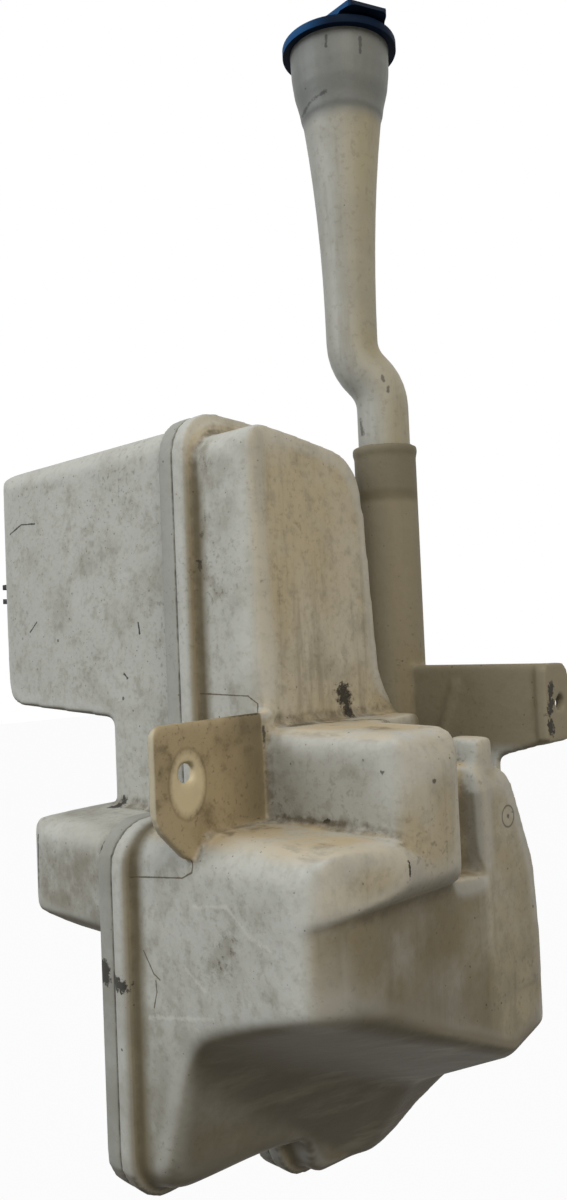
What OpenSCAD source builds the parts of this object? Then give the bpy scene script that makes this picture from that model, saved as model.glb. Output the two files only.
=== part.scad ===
// Washer fluid reservoir: two welded half shells, filler pipe, flip cap and pump.
// Units are mm. X is the normal of the weld plane (plus is the outer shell),
// Y runs from the front of the vehicle bay to the back, Z is up.

/* [Shells] */
// Wall of both half shells
wall = 2.5; // [1.8:0.1:3.5]
// How far the weld flange stands out from the wall
flange_w = 5; // [3:0.5:8]
// Thickness of each half of the weld flange
flange_t = 9; // [6:0.5:11]
// Height of the tank top over the sump
tank_top = 347; // [320:1:380]
// Height of the shelf on the middle block
shelf_z = 214; // [205:1:225]
// Height of the ledge on the lower block
ledge_z = 177; // [168:1:186]
// Underside of the front leg
leg_z = 30; // [25:1:36]
// Underside of the sump
sump_z = 7; // [2:1:14]
// Front wall of the upper tank
front_up = 11; // [6:1:14]
// Front wall of the lower tank
front_low = -29; // [-40:1:-20]
// Back wall of the upper tank
back_up = 84; // [70:1:90]
// Back wall of the lower tank
back_low = 140; // [139:1:150]
// Reach of the upper block of the outer shell
outer_up = 44; // [36:1:54]
// Reach of the middle block of the outer shell
outer_mid = 121; // [112:1:135]
// Reach of the lower block of the outer shell
outer_low = 112; // [104:1:118]
// Reach of the upper box of the inner shell
inner_up = 166; // [130:1:185]
// Reach of the middle of the inner shell
inner_mid = 66; // [56:1:80]
// Floor of the upper box of the inner shell
inner_floor = 216; // [205:1:230]
// Reach of the small front box of the inner shell
pocket_x = 76; // [68:1:90]
// Underside of the small front box of the inner shell
pocket_z = 126; // [110:1:140]

/* [Filler] */
// Socket position from the weld plane
socket_x = 29; // [24:0.5:34]
// Socket position from front to back
socket_y = 121; // [118:0.5:122]
// Outside diameter of the socket
socket_d = 31; // [30:0.5:34]
// Height of the socket mouth
socket_top = 345; // [330:1:365]
// Bore of the filler pipe
pipe_bore = 21.6; // [18:0.2:22.4]
// Wall of the filler pipe
pipe_wall = 2.2; // [2:0.1:2.4]
// Radial clearance of the pipe in the socket
pipe_gap = 0.3; // [0.1:0.05:0.5]
// Sideways shift of the pipe at its double bend
pipe_shift = 14; // [8:1:22]
// Direction of the shift, from the weld plane
pipe_turn = 45; // [0:5:90]
// Bend radius of the pipe
bend_r = 24; // [20:1:32]
// Depth of the pipe spigot in the socket
spigot_l = 34; // [28:1:50]
// Length of straight pipe over the socket
stub_l = 20; // [10:1:40]
// Height of the bottom of the funnel
funnel_z = 513; // [480:1:525]
// Height of the funnel rim
rim_z = 552; // [545:1:580]
// Outside diameter of the funnel rim
rim_d = 53; // [50:0.5:58]
// Diameter of the pipe just under the funnel
neck_d = 40; // [34:0.5:43]
// Height of the seal ring
seal_h = 4; // [3:0.5:6]

/* [Cap] */
// Height of the cap ring
ring_h = 4; // [3.6:0.2:7]
// Wall of the cap ring
ring_wall = 2.4; // [1.6:0.1:3]
// Thickness of the lid
lid_t = 1.8; // [1.6:0.2:3.6]
// Clearance between the lid and what it shuts on
lid_gap = 0.4; // [0.3:0.1:0.6]
// Depth of the plug under the lid
plug_l = 5; // [3:0.5:8]
// Reach of the finger tab past the ring
tab_reach = 3; // [1:1:10]
// Rise of the finger tab over the lid
tab_rise = 3; // [2:0.5:10]
// Width of the finger tab at its root
tab_w = 44; // [34:1:48]
// Width of the finger tab at its end
tab_tip = 20; // [14:1:28]
// Diameter of the hinge trunnions
hinge_d = 2.6; // [2.2:0.1:3]
// Direction of the finger tab, from the weld plane's normal
cap_turn = -20; // [-40:5:20]
// Length of the hinge bar between the ears
hinge_w = 14; // [10:1:20]

/* [Brackets] */
// Bolt hole of the front bracket
front_hole_d = 8; // [6:0.5:10]
// Bolt hole of the side bracket
side_hole_d = 7; // [5:0.5:8]
// Thickness of both brackets
bracket_t = 4; // [3:0.5:5]
// Distance of the front bracket's hole before the lower wall
front_hole_out = 1; // [0:1:6]
// Reach of the front bracket past the lower wall
front_reach = 17; // [14:1:24]
// Top edge of the front bracket
front_top = 221; // [216:1:226]
// Reach of the side bracket from the weld plane
side_reach = 117.5; // [112:0.5:124]
// Top edge of the side bracket
side_top = 235; // [228:1:242]
// Height of the end of the side bracket
side_h = 35; // [28:1:38]

/* [Pump] */
// Diameter of the pump motor case
pump_d = 32; // [28:1:36]
// Length of the pump motor case
pump_l = 58; // [45:1:75]
// Bore of the grommet
spout_d = 12; // [10:0.5:13]
// Pump position from front to back
pump_y = 74; // [68:1:80]
// Height of the pump inlet
pump_z = 58; // [52:1:64]

/* [Hidden] */
$fn = 48;
eps = 0.01;
corner_steps = 5;
hinge_play = 0.05;
fit_play = 0.05;
seal_play = 0.05;

// The part's origin is the centre of the front bracket's bolt hole.
module in_frame() {
    translate([bracket_t / 2 - bracket_x, -front_hole_y, -front_hole_z]) children();
}

// Outline helpers: points are [across, up, corner radius], counter-clockwise.
// A corner's arc keeps to its own half of both edges.
function unit(v) = v / norm(v);
function flat2(p) = [p[0], p[1]];
function turn2(v, a) = [v[0] * cos(a) - v[1] * sin(a), v[0] * sin(a) + v[1] * cos(a)];
function point_at(p, i) = p[(i + len(p)) % len(p)];
function left_of(a, b) = let (u = unit(b - a)) [-u[1], u[0]];
function corner(a, b, c, wish) =
    let (u = unit(a - b), v = unit(c - b), half = acos(max(-1, min(1, u * v))) / 2)
    wish < eps || half > 89.5 ? [b] :
    let (
        r = min(wish, 0.49 * min(norm(a - b), norm(c - b)) * tan(half)),
        o = b + unit(u + v) * (r / sin(half)),
        s = b + u * (r / tan(half)) - o,
        way = cross(b - a, c - b) > 0 ? 1 : -1,
        sweep = 180 - 2 * half
    )
    [for (i = [0:corner_steps]) o + turn2(s, way * sweep * i / corner_steps)];
function rounded(p) = [
    for (i = [0:len(p) - 1])
        each corner(flat2(point_at(p, i - 1)), flat2(p[i]), flat2(point_at(p, i + 1)), p[i][2])
];
function inset(p, d) = [
    for (i = [0:len(p) - 1])
        let (
            a = flat2(point_at(p, i - 1)),
            b = flat2(p[i]),
            c = flat2(point_at(p, i + 1)),
            m = left_of(a, b),
            n = left_of(b, c),
            q = b + (m + n) * d / (1 + m * n),
            way = cross(b - a, c - b) > 0 ? -1 : 1
        )
        [q[0], q[1], p[i][2] < eps ? 0 : max(p[i][2] + way * d, 1)]
];
function flipped(p) = [for (i = [len(p) - 1:-1:0]) [-p[i][0], p[i][1], p[i][2]]];

// Solids from outlines seen along each axis.
module along_x(x0, x1, p) {
    translate([x0, 0, 0]) rotate([90, 0, 90]) linear_extrude(x1 - x0) polygon(p);
}

module along_y(y0, y1, p) {
    translate([0, y1, 0]) rotate([90, 0, 0]) linear_extrude(y1 - y0) polygon(p);
}

module along_z(z0, z1, p) {
    translate([0, 0, z0]) linear_extrude(z1 - z0) polygon(p);
}

// A loft through outlines with matching points: each section is [y, outline].
module loft_y(sections) {
    n = len(sections[0][1]);
    last = len(sections) - 1;
    polyhedron(
        points = [for (s = sections) for (a = s[1]) [a[0], s[0], a[1]]],
        faces = concat(
            [[for (i = [n - 1:-1:0]) i]],
            [[for (i = [0:n - 1]) last * n + i]],
            [
                for (k = [0:last - 1])
                    for (i = [0:n - 1])
                        let (j = (i + 1) % n, a = k * n, b = a + n)
                        each [[a + i, a + j, b + i], [a + j, b + j, b + i]]
            ]
        )
    );
}

// A tank block: what its side, front and plan outlines have in common.
// hand is 1 for the outer shell and -1 for the inner, d is the inset of the cavity.
module block(hand, d, side, front, plan) {
    over = d > 0 ? 1 : 0;
    intersection() {
        along_x(hand > 0 ? -over : -400, hand > 0 ? 400 : over, rounded(inset(side, d)));
        along_y(-200, 400, rounded(inset(hand > 0 ? front : flipped(front), d)));
        along_z(-50, 500, rounded(inset(hand > 0 ? plan : flipped(plan), d)));
    }
}

sump_front = 48;
sump_back = 100;
knee_z = 84;
back_shelf = 195;
groove_back = 74;
mid_front = 11.5;
mid_back = 48;
groove_x = 98;
back_x = 108;
back_cut = 17;
overhang_z = 155;
inner_lean = 4;

// Weld outline seen along X, shared by both shells
seam = [
    [front_low, leg_z, 14],
    [sump_front, leg_z, 12],
    [sump_front + 8, sump_z, 12],
    [sump_back, sump_z, 18],
    [back_low, knee_z, 26],
    [back_low, back_shelf, 12],
    [back_up + 20, back_shelf + 12, 14],
    [back_up + 4, 262, 40],
    [back_up, tank_top - 3, 14],
    [front_up, tank_top + 3, 14],
    [front_up, ledge_z - 4, 8],
    [front_low, ledge_z - 4, 16]
];

module seam_dish(hand, d) {
    deep = flange_t + 2 - d;
    over = d > 0 ? 1 : 0;
    along_x(hand > 0 ? -over : -deep, hand > 0 ? deep : over, rounded(inset(seam, d)));
}

module flange(hand) {
    along_x(hand > 0 ? 0 : -flange_t, hand > 0 ? flange_t : 0, rounded(inset(seam, -flange_w)));
}

// Lower body of the outer shell, lofted over the wheel arch
module arch_body(d) {
    front = [
        [-20, sump_z - 8, 0],
        [11, sump_z - 8, 6],
        [42, 97, 22],
        [outer_low + 1, 123, 10],
        [outer_low + 1, overhang_z + 8, 3],
        [-20, overhang_z + 8, 0]
    ];
    middle = [
        [-20, sump_z - 8, 0],
        [20, sump_z - 8, 6],
        [52, 46, 22],
        [back_x + 2, 74, 10],
        [back_x + 2, overhang_z - 6, 3],
        [-20, overhang_z - 6, 0]
    ];
    back = [
        [-20, sump_z - 4, 0],
        [24, sump_z - 4, 6],
        [58, 46, 22],
        [back_x, 86, 10],
        [back_x - 25, overhang_z - 6, 10],
        [-20, overhang_z - 6, 0]
    ];
    side = [
        [front_low, leg_z, 14],
        [sump_front, leg_z, 12],
        [sump_front + 8, sump_z, 12],
        [sump_back, sump_z, 18],
        [back_low, knee_z, 26],
        [back_low, overhang_z + 10, 0],
        [front_low, overhang_z + 10, 0]
    ];
    plan = [
        [-20, front_low, 0],
        [outer_low + 1, front_low, 18],
        [back_x, back_low - back_cut, 20],
        [46, back_low, 20],
        [-20, back_low, 0]
    ];
    over = d > 0 ? 1 : 0;
    intersection() {
        loft_y([
            [front_low - 1, rounded(inset(front, d))],
            [sump_back - 10, rounded(inset(middle, d))],
            [back_low + 1, rounded(inset(back, d))]
        ]);
        along_x(-over, 400, rounded(inset(side, d)));
        along_z(-50, 500, rounded(inset(plan, d)));
    }
}

// Underside of the middle block and the ledge, seen along Y
overhang = [
    [-20, overhang_z - 20, 0],
    [groove_x - 4, overhang_z - 20, 0],
    [groove_x, overhang_z - 6, 0],
    [outer_mid, overhang_z + 1, 12]
];

// Upper block beside the weld
module upper_block(d) {
    block(1, d,
        [
            [front_up, 120, 0],
            [back_up + 22, 120, 0],
            [back_up + 22, shelf_z - 14, 0],
            [back_up + 6, 234, 24],
            [back_up - 1, tank_top - 14, 22],
            [front_up, tank_top - 2, 12]
        ],
        [
            [-20, 100, 0],
            [outer_up + 4, 100, 0],
            [outer_up, tank_top - 1, 10],
            [-20, tank_top + 2, 0]
        ],
        [
            [-20, front_up, 0],
            [outer_up + 4, front_up, 14],
            [outer_up + 4, back_up + 40, 8],
            [-20, back_up + 40, 0]
        ]);
}

// Middle block with its shelf
module middle_block(d) {
    block(1, d,
        [
            [mid_front, 130, 0],
            [back_up + 20, 130, 0],
            [back_up + 20, shelf_z, 8],
            [mid_front, shelf_z, 8]
        ],
        concat(overhang, [[outer_mid, shelf_z, 14], [-20, shelf_z, 0]]),
        [
            [-20, mid_front, 0],
            [outer_mid, mid_front, 16],
            [outer_mid, mid_back, 12],
            [70, mid_back + 8, 10],
            [58, back_up + 20, 8],
            [-20, back_up + 20, 0]
        ]);
}

// Front ledge over the wheel arch
module front_ledge(d) {
    block(1, d,
        [
            [front_low, 120, 0],
            [mid_back, 120, 0],
            [mid_back, ledge_z, 0],
            [front_low, ledge_z, 14]
        ],
        concat(overhang, [[outer_mid, ledge_z, 12], [-20, ledge_z, 0]]),
        [
            [-20, front_low, 0],
            [outer_low - 1, front_low, 18],
            [outer_mid, mid_front, 20],
            [outer_mid, mid_back, 12],
            [-20, mid_back + 4, 0]
        ]);
}

// Back block behind its groove
module back_block(d) {
    block(1, d,
        [
            [mid_back - 10, 100, 0],
            [back_low - 20, 100, 0],
            [back_low - 29, overhang_z - 4, 40],
            [back_low - 46, back_shelf, 12],
            [mid_back - 10, back_shelf, 0]
        ],
        [
            [-20, 80, 0],
            [back_x + 2, 80, 0],
            [back_x + 1, back_shelf, 10],
            [-20, back_shelf, 0]
        ],
        [
            [-20, mid_back - 10, 0],
            [groove_x, mid_back - 10, 0],
            [groove_x, groove_back, 6],
            [back_x + 2, groove_back, 6],
            [back_x + 2, back_low - back_cut, 20],
            [-20, back_low, 0]
        ]);
}

// Foot of the filler socket
module socket_foot(d) {
    block(1, d,
        [
            [90, 100, 0],
            [back_low, 100, 0],
            [back_low, back_shelf, 8],
            [90, back_shelf, 0]
        ],
        [
            [-20, 80, 0],
            [socket_x + 18, 80, 0],
            [socket_x + 18, back_shelf, 6],
            [-20, back_shelf, 0]
        ],
        [
            [-20, 90, 0],
            [socket_x + 18, 90, 0],
            [socket_x + 18, back_low, 10],
            [-20, back_low, 0]
        ]);
}

module outer_body(d) {
    seam_dish(1, d);
    arch_body(d);
    upper_block(d);
    middle_block(d);
    front_ledge(d);
    back_block(d);
    socket_foot(d);
}

// Plate of the front bracket, parallel to the weld plane
bracket_x = outer_up + 4;
front_hole_y = front_low - front_hole_out;
front_hole_z = front_top - 20;

module front_bracket() {
    along_x(bracket_x - bracket_t, bracket_x, rounded([
        [front_low - front_reach, front_top - 38, 14],
        [front_low - 3, ledge_z - 8.5, 5],
        [front_low + 12, ledge_z - 8.5, 0],
        [front_low + 12, ledge_z - 4, 0],
        [mid_front + 6, ledge_z - 4, 0],
        [mid_front + 6, front_top, 0],
        [front_low - front_reach, front_top - 1, 5]
    ]));
}

// Side bracket: a web from the socket to an end pad that faces outwards
side_y = socket_y - 3;
pad_w = 20;
side_hole_y = side_y + pad_w / 2 - 2;
side_hole_z = side_top - side_h / 2;

module side_bracket() {
    along_y(side_y - bracket_t / 2, side_y + bracket_t / 2, rounded([
        [socket_x, back_shelf - 20, 0],
        [back_x - 18, back_shelf - 20, 0],
        [back_x - 18, back_shelf - 2, 0],
        [side_reach - 2, side_top - side_h, 2],
        [side_reach - 2, side_top, 0],
        [socket_x, side_top, 0]
    ]));
    along_x(side_reach - 5, side_reach, rounded([
        [side_y - 4, side_top - side_h, 3],
        [side_y + pad_w - 4, side_top - side_h, 6],
        [side_y + pad_w - 4, side_top, 6],
        [side_y - 4, side_top, 3]
    ]));
    // top lip and stiffening rib
    along_z(side_top - 2.5, side_top, [
        [socket_x, side_y],
        [side_reach - 1, side_y],
        [side_reach - 1, side_y + 7],
        [socket_x, side_y + 7]
    ]);
    along_y(side_y - bracket_t / 2 - 0.8, side_y, [
        [58, side_top - 32],
        [62, side_top - 32],
        [71, side_top - 8],
        [67, side_top - 8]
    ]);
}

module outer_shell() {
    color("Gainsboro") in_frame()
    difference() {
        union() {
            outer_body(0);
            flange(1);
            // small moulded block on the back shelf
            along_z(back_shelf - 12, back_shelf + 11, rounded([
                [back_x - 18, groove_back + 3, 4],
                [back_x - 1, groove_back + 3, 4],
                [back_x - 1, groove_back + 15, 4],
                [back_x - 18, groove_back + 15, 4]
            ]));
            front_bracket();
            side_bracket();
            translate([socket_x, socket_y, back_shelf - 30])
                cylinder(d = socket_d, h = socket_top - back_shelf + 30);
            translate([socket_x, socket_y, socket_top - 4]) cylinder(d = socket_d + 1.4, h = 4);
        }
        outer_body(wall);
        translate([socket_x, socket_y, back_shelf - 31])
            cylinder(d = socket_bore, h = socket_top - back_shelf + 40);
        translate([bracket_x - bracket_t - 1, front_hole_y, front_hole_z])
            rotate([0, 90, 0]) cylinder(d = front_hole_d, h = bracket_t + 2);
        translate([side_reach - 6, side_hole_y, side_hole_z])
            rotate([0, 90, 0]) cylinder(d = side_hole_d, h = 8);
    }
}

module inner_body(d) {
    seam_dish(-1, d);
    // upper box
    block(-1, d,
        [
            [front_up + 1, inner_floor - 8, 0],
            [back_up - 1, inner_floor - 8, 0],
            [back_up - 2, tank_top - 1, 14],
            [front_up + 1, tank_top + 5, 14]
        ],
        [
            [-20, inner_floor - 5, 0],
            [inner_up - 6, inner_floor + 5, 16],
            [inner_up + inner_lean, tank_top + 3, 14],
            [-20, tank_top + 6, 0]
        ],
        [
            [-20, front_up + 1, 0],
            [inner_up + inner_lean, front_up + 2, 16],
            [inner_up + inner_lean, back_up - 3, 16],
            [-20, back_up - 1, 0]
        ]);
    // middle body down to the sump
    block(-1, d,
        [
            [front_up + 1, leg_z + 10, 12],
            [sump_front, leg_z + 10, 10],
            [sump_front + 10, sump_z + 6, 10],
            [sump_back - 4, sump_z + 6, 14],
            [back_low - 24, knee_z, 20],
            [back_low - 24, back_shelf - 6, 14],
            [back_up - 4, back_shelf + 40, 10],
            [front_up + 1, back_shelf + 40, 0]
        ],
        [
            [-20, sump_z - 10, 0],
            [44, sump_z + 8, 14],
            [inner_mid, ledge_z, 10],
            [inner_mid, 260, 0],
            [-20, 260, 0]
        ],
        [
            [-20, front_up, 0],
            [inner_mid, front_up + 1, 12],
            [inner_mid, back_low - 26, 14],
            [-20, back_low - 22, 0]
        ]);
    // small front box
    block(-1, d,
        [
            [front_low + 1, pocket_z, 10],
            [30, pocket_z, 0],
            [30, ledge_z - 2, 0],
            [front_low + 1, ledge_z - 5, 10]
        ],
        [
            [-20, pocket_z - 8, 0],
            [pocket_x - 3, pocket_z + 5, 10],
            [pocket_x, ledge_z - 3, 8],
            [-20, ledge_z - 2, 0]
        ],
        [
            [-20, front_low, 0],
            [pocket_x, front_low + 2, 12],
            [pocket_x, 30, 0],
            [-20, 30, 0]
        ]);
}

// Pump boss and clip pad on the inner shell
boss_x = 58;
boss_d = spout_d + 16;
grommet_d = spout_d + 6;
clip_y = front_up + 14;
clip_z = 283;
pad_x = inner_up + 1.5;
peg_d = 4;

module inner_shell() {
    color("Silver") in_frame()
    difference() {
        union() {
            inner_body(0);
            flange(-1);
            translate([-boss_x, pump_y, pump_z]) rotate([0, 90, 0]) cylinder(d = boss_d, h = 20);
            translate([-pad_x, clip_y, clip_z]) rotate([0, 90, 0]) cylinder(d = 11, h = 12);
        }
        inner_body(wall);
        translate([-boss_x - 1, pump_y, pump_z]) rotate([0, 90, 0]) cylinder(d = grommet_d, h = 30);
        translate([-pad_x - 1, clip_y, clip_z]) rotate([0, 90, 0]) cylinder(d = peg_d, h = 5);
    }
}

// Filler pipe
pipe_d = pipe_bore + 2 * pipe_wall;
socket_bore = pipe_d + 2 * pipe_gap;
bend_a = acos(1 - pipe_shift / (2 * bend_r));
bend_z = socket_top + stub_l;
top_z = bend_z + 2 * bend_r * sin(bend_a);
cap_x = socket_x - pipe_shift * cos(pipe_turn);
cap_y = socket_y - pipe_shift * sin(pipe_turn);
seal_z = socket_top - spigot_l + 6;
seal_t = 1.2;

module on_cap() {
    translate([cap_x, cap_y, 0]) rotate([0, 0, cap_turn]) children();
}

lip_h = 1.4;

// Flared neck and funnel outline from the bend to the rim: [radius, height]
bead_h = ring_h - lip_h - 0.3;
mouth_r = rim_d / 2 - 1.2 - pipe_wall;
neck_steps = 7;
function neck_r(t) = pipe_d / 2 + (neck_d - pipe_d) / 2 * pow(t, 2.2);
neck_line = [
    for (i = [0:neck_steps])
        let (t = i / neck_steps)
        [neck_r(t), top_z + (funnel_z - top_z) * t]
];
funnel_h = rim_z - funnel_z;
cup_r = mouth_r + pipe_wall;
funnel_line = [
    [neck_d / 2 + 0.8, funnel_z + 1],
    [neck_d / 2 + (cup_r - neck_d / 2) * 0.3, funnel_z + funnel_h * 0.16],
    [neck_d / 2 + (cup_r - neck_d / 2) * 0.72, funnel_z + funnel_h * 0.38],
    [cup_r - 0.4, funnel_z + funnel_h * 0.6],
    [cup_r, rim_z - bead_h]
];

// Sections of the pipe along its path: [shift, height, tilt, radius].
// The second arc of the double bend turns back on the first.
bend_steps = 5;
function bend_up(r) = [
    for (i = [1:bend_steps])
        let (a = bend_a * i / bend_steps)
        [bend_r * cos(a) - bend_r, bend_z + bend_r * sin(a), a, r],
    for (i = [1:bend_steps - 1])
        let (a = bend_a * (1 - i / bend_steps))
        [bend_r - pipe_shift - bend_r * cos(a), top_z - bend_r * sin(a), a, r]
];
function reversed(p) = [for (i = [len(p) - 1:-1:0]) p[i]];
function spigot_at(z, r) = [0, z, 0, r];
function neck_at(q, d) = [-pipe_shift, q[1], 0, q[0] - d];
spigot_z = socket_top - spigot_l;
neck_and_funnel = concat(neck_line, funnel_line);
pipe_sections = concat(
    [
        spigot_at(spigot_z, pipe_d / 2 - 0.6),
        spigot_at(spigot_z + 2, pipe_d / 2),
        spigot_at(seal_z, pipe_d / 2),
        spigot_at(seal_z, pipe_d / 2 - seal_t),
        spigot_at(seal_z + seal_h, pipe_d / 2 - seal_t),
        spigot_at(seal_z + seal_h, pipe_d / 2),
        spigot_at(bend_z, pipe_d / 2)
    ],
    bend_up(pipe_d / 2),
    [for (q = neck_and_funnel) neck_at(q, 0)],
    [
        neck_at([rim_d / 2, rim_z - bead_h], 0),
        neck_at([rim_d / 2, rim_z - 0.6], 0),
        neck_at([rim_d / 2 - 0.6, rim_z], 0),
        neck_at([mouth_r, rim_z], 0)
    ],
    [for (q = reversed(neck_and_funnel)) neck_at(q, pipe_wall)],
    reversed(bend_up(pipe_bore / 2)),
    [spigot_at(bend_z, pipe_bore / 2), spigot_at(spigot_z, pipe_bore / 2)]
);
pipe_sides = 32;

module filler_pipe() {
    n = pipe_sides;
    m = len(pipe_sections);
    color("LightGray") in_frame()
    translate([socket_x, socket_y, 0]) rotate([0, 0, pipe_turn - 90])
    polyhedron(
        points = [
            for (s = pipe_sections)
                for (i = [0:n - 1])
                    let (t = 360 * i / n)
                    [s[3] * cos(t), s[0] + s[3] * sin(t) * cos(s[2]), s[1] + s[3] * sin(t) * sin(s[2])]
        ],
        faces = [
            for (k = [0:m - 1])
                for (i = [0:n - 1])
                    let (j = (i + 1) % n, a = k * n, b = ((k + 1) % m) * n)
                    each [[a + i, b + i, a + j], [a + j, b + i, b + j]]
        ]
    );
}

module pipe_seal() {
    color("DimGray") in_frame()
    translate([socket_x, socket_y, seal_z + seal_play]) difference() {
        cylinder(d = socket_bore - 2 * seal_play, h = seal_h - 2 * seal_play);
        translate([0, 0, -1]) cylinder(d = pipe_d - 2 * seal_t + 2 * seal_play, h = seal_h + 2);
    }
}

// Cap: the ring snaps under the rim and carries the hinge of the lid
ring_bore = rim_d + 0.3;
ring_r = ring_bore / 2 + ring_wall;
lid_z = rim_z + lid_gap;
lid_r = ring_r - 3;
bar_d = hinge_d + 1.6;
hinge_x = -ring_r - bar_d / 2 - 0.8;
hinge_z = lid_z + lid_t / 2;
ear_t = 3;
plug_t = 2.2;
plug_lead = 0.9;
ear_y = hinge_w / 2 + lid_gap;

module hinge_axis(y0, y1, d) {
    translate([hinge_x, y1, hinge_z]) rotate([90, 0, 0]) cylinder(d = d, h = y1 - y0);
}

module cap_ring() {
    color("MidnightBlue") in_frame()
    on_cap() difference() {
        union() {
            translate([0, 0, rim_z - ring_h]) cylinder(r = ring_r, h = ring_h);
            for (y0 = [ear_y, -ear_y - ear_t]) {
                hinge_axis(y0, y0 + ear_t, bar_d + 1);
                along_y(y0, y0 + ear_t, [
                    [hinge_x - bar_d / 2 - 0.5, hinge_z],
                    [hinge_x - bar_d / 2 + 1, rim_z - ring_h + 1],
                    [-ring_r + 6, rim_z - ring_h],
                    [-ring_r + 6, rim_z],
                    [-ring_r - 0.5, rim_z],
                    [-ring_r - 0.5, hinge_z]
                ]);
            }
        }
        translate([0, 0, rim_z - ring_h + lip_h]) cylinder(d = ring_bore, h = ring_h);
        translate([0, 0, rim_z - ring_h - 1]) cylinder(r = cup_r + 0.2, h = ring_h);
        hinge_axis(-ear_y - ear_t - 1, ear_y + ear_t + 1, hinge_d + 2 * hinge_play);
    }
}

module cap_lid() {
    plug_r = mouth_r - lid_gap;
    color("DarkSlateBlue") in_frame()
    on_cap() {
        // lid and the plug in the mouth
        rotate_extrude() polygon([
            [0, lid_z],
            [plug_r - plug_t, lid_z],
            [plug_r - plug_t, rim_z - plug_l],
            [plug_r - plug_lead, rim_z - plug_l],
            [plug_r, rim_z - 1],
            [plug_r, lid_z],
            [lid_r, lid_z],
            [lid_r, lid_z + lid_t - 1],
            [lid_r - 1, lid_z + lid_t],
            [0, lid_z + lid_t]
        ]);
        // finger tab, a wedge that rises to its overhanging end
        intersection() {
            along_y(-tab_w / 2, tab_w / 2, [
                [0, lid_z + 1],
                [lid_r - 2, lid_z + 1],
                [lid_r - 1, lid_z + lid_t],
                [ring_r + tab_reach, lid_z + lid_t + tab_rise - 3],
                [ring_r + tab_reach - 1.5, lid_z + lid_t + tab_rise],
                [0, lid_z + lid_t]
            ]);
            along_z(rim_z, rim_z + 50, rounded([
                [0, -tab_w / 2, 0],
                [ring_r + tab_reach, -tab_tip / 2, 5],
                [ring_r + tab_reach, tab_tip / 2, 5],
                [0, tab_w / 2, 0]
            ]));
        }
        // hinge bar with its trunnions
        hinge_axis(-hinge_w / 2, hinge_w / 2, bar_d);
        hinge_axis(-ear_y - ear_t, ear_y + ear_t, hinge_d);
        along_y(-hinge_w / 2, hinge_w / 2, [
            [hinge_x, lid_z + 0.3],
            [-ring_r + 4, lid_z + 0.3],
            [-ring_r + 4, lid_z + lid_t - 0.3],
            [hinge_x, lid_z + lid_t - 0.3]
        ]);
    }
}

// Pump: foot with the inlet spout, motor case on top, grommet in the boss
foot_x = -boss_x - 3 - pump_d / 2 - 1.5;
foot_h = 16;
spout_l = 24;
case_z = pump_z + foot_h / 2;

module pump_foot() {
    color("DarkSlateGray") in_frame()
    difference() {
        union() {
            translate([foot_x, pump_y, pump_z - foot_h / 2]) cylinder(d = pump_d + 2, h = foot_h);
            translate([foot_x, pump_y, pump_z]) rotate([0, 90, 0])
                cylinder(d = spout_d - 2 * fit_play, h = -foot_x - boss_x + spout_l);
            // outlet nipple with its barb
            translate([foot_x + pump_d / 4, pump_y, pump_z]) rotate([-90, 0, 0]) {
                cylinder(d = 7, h = pump_d / 2 + 18);
                translate([0, 0, pump_d / 2 + 13]) cylinder(d1 = 9, d2 = 7, h = 5);
            }
        }
        translate([-boss_x + 2, pump_y, pump_z]) rotate([0, 90, 0]) cylinder(d = spout_d - 4, h = spout_l);
        translate([foot_x + pump_d / 4, pump_y + pump_d / 2 + 4, pump_z]) rotate([-90, 0, 0])
            cylinder(d = 4, h = 20);
    }
}

module pump_case() {
    color("Black") in_frame()
    difference() {
        union() {
            translate([foot_x, pump_y, case_z]) cylinder(d = pump_d, h = pump_l);
            translate([foot_x, pump_y, case_z + pump_l]) cylinder(d1 = pump_d, d2 = pump_d - 6, h = 3);
            // connector socket
            along_z(case_z + pump_l, case_z + pump_l + 16, rounded([
                [foot_x - 10, pump_y - 7, 2],
                [foot_x + 6, pump_y - 7, 2],
                [foot_x + 6, pump_y + 7, 2],
                [foot_x - 10, pump_y + 7, 2]
            ]));
        }
        along_z(case_z + pump_l + 5, case_z + pump_l + 17, rounded([
            [foot_x - 8.4, pump_y - 5.4, 1],
            [foot_x + 4.4, pump_y - 5.4, 1],
            [foot_x + 4.4, pump_y + 5.4, 1],
            [foot_x - 8.4, pump_y + 5.4, 1]
        ]));
    }
}

module pump_grommet() {
    color("DimGray") in_frame()
    translate([-boss_x, pump_y, pump_z]) rotate([0, 90, 0]) difference() {
        union() {
            translate([0, 0, -3]) cylinder(d = boss_d - 2, h = 3);
            translate([0, 0, -1]) cylinder(d = grommet_d - 2 * fit_play, h = 13);
        }
        translate([0, 0, -4]) cylinder(d = spout_d, h = 20);
    }
}

module pump_strainer() {
    color("LightSlateGray") in_frame()
    translate([-boss_x + 14, pump_y, pump_z]) rotate([0, 90, 0]) difference() {
        cylinder(d = spout_d + 4, h = spout_l - 4);
        translate([0, 0, -1]) cylinder(d = spout_d + 2 * fit_play, h = spout_l - 5);
        for (a = [0:45:359]) rotate([0, 0, a])
            translate([-1, 0, spout_l - 13]) cube([2, spout_d, 6]);
    }
}

module hose_clip() {
    color("Black") in_frame()
    translate([-pad_x, clip_y, clip_z]) rotate([0, -90, 0]) {
        translate([0, 0, -4]) cylinder(d = peg_d - 2 * fit_play, h = 5);
        difference() {
            translate([-5.5, -4, 0]) cube([11, 8, 9]);
            translate([0, 0, 6]) rotate([90, 0, 0]) cylinder(d = 7, h = 20, center = true);
            translate([-2.6, -10, 6]) cube([5.2, 20, 20]);
        }
    }
}

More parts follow.
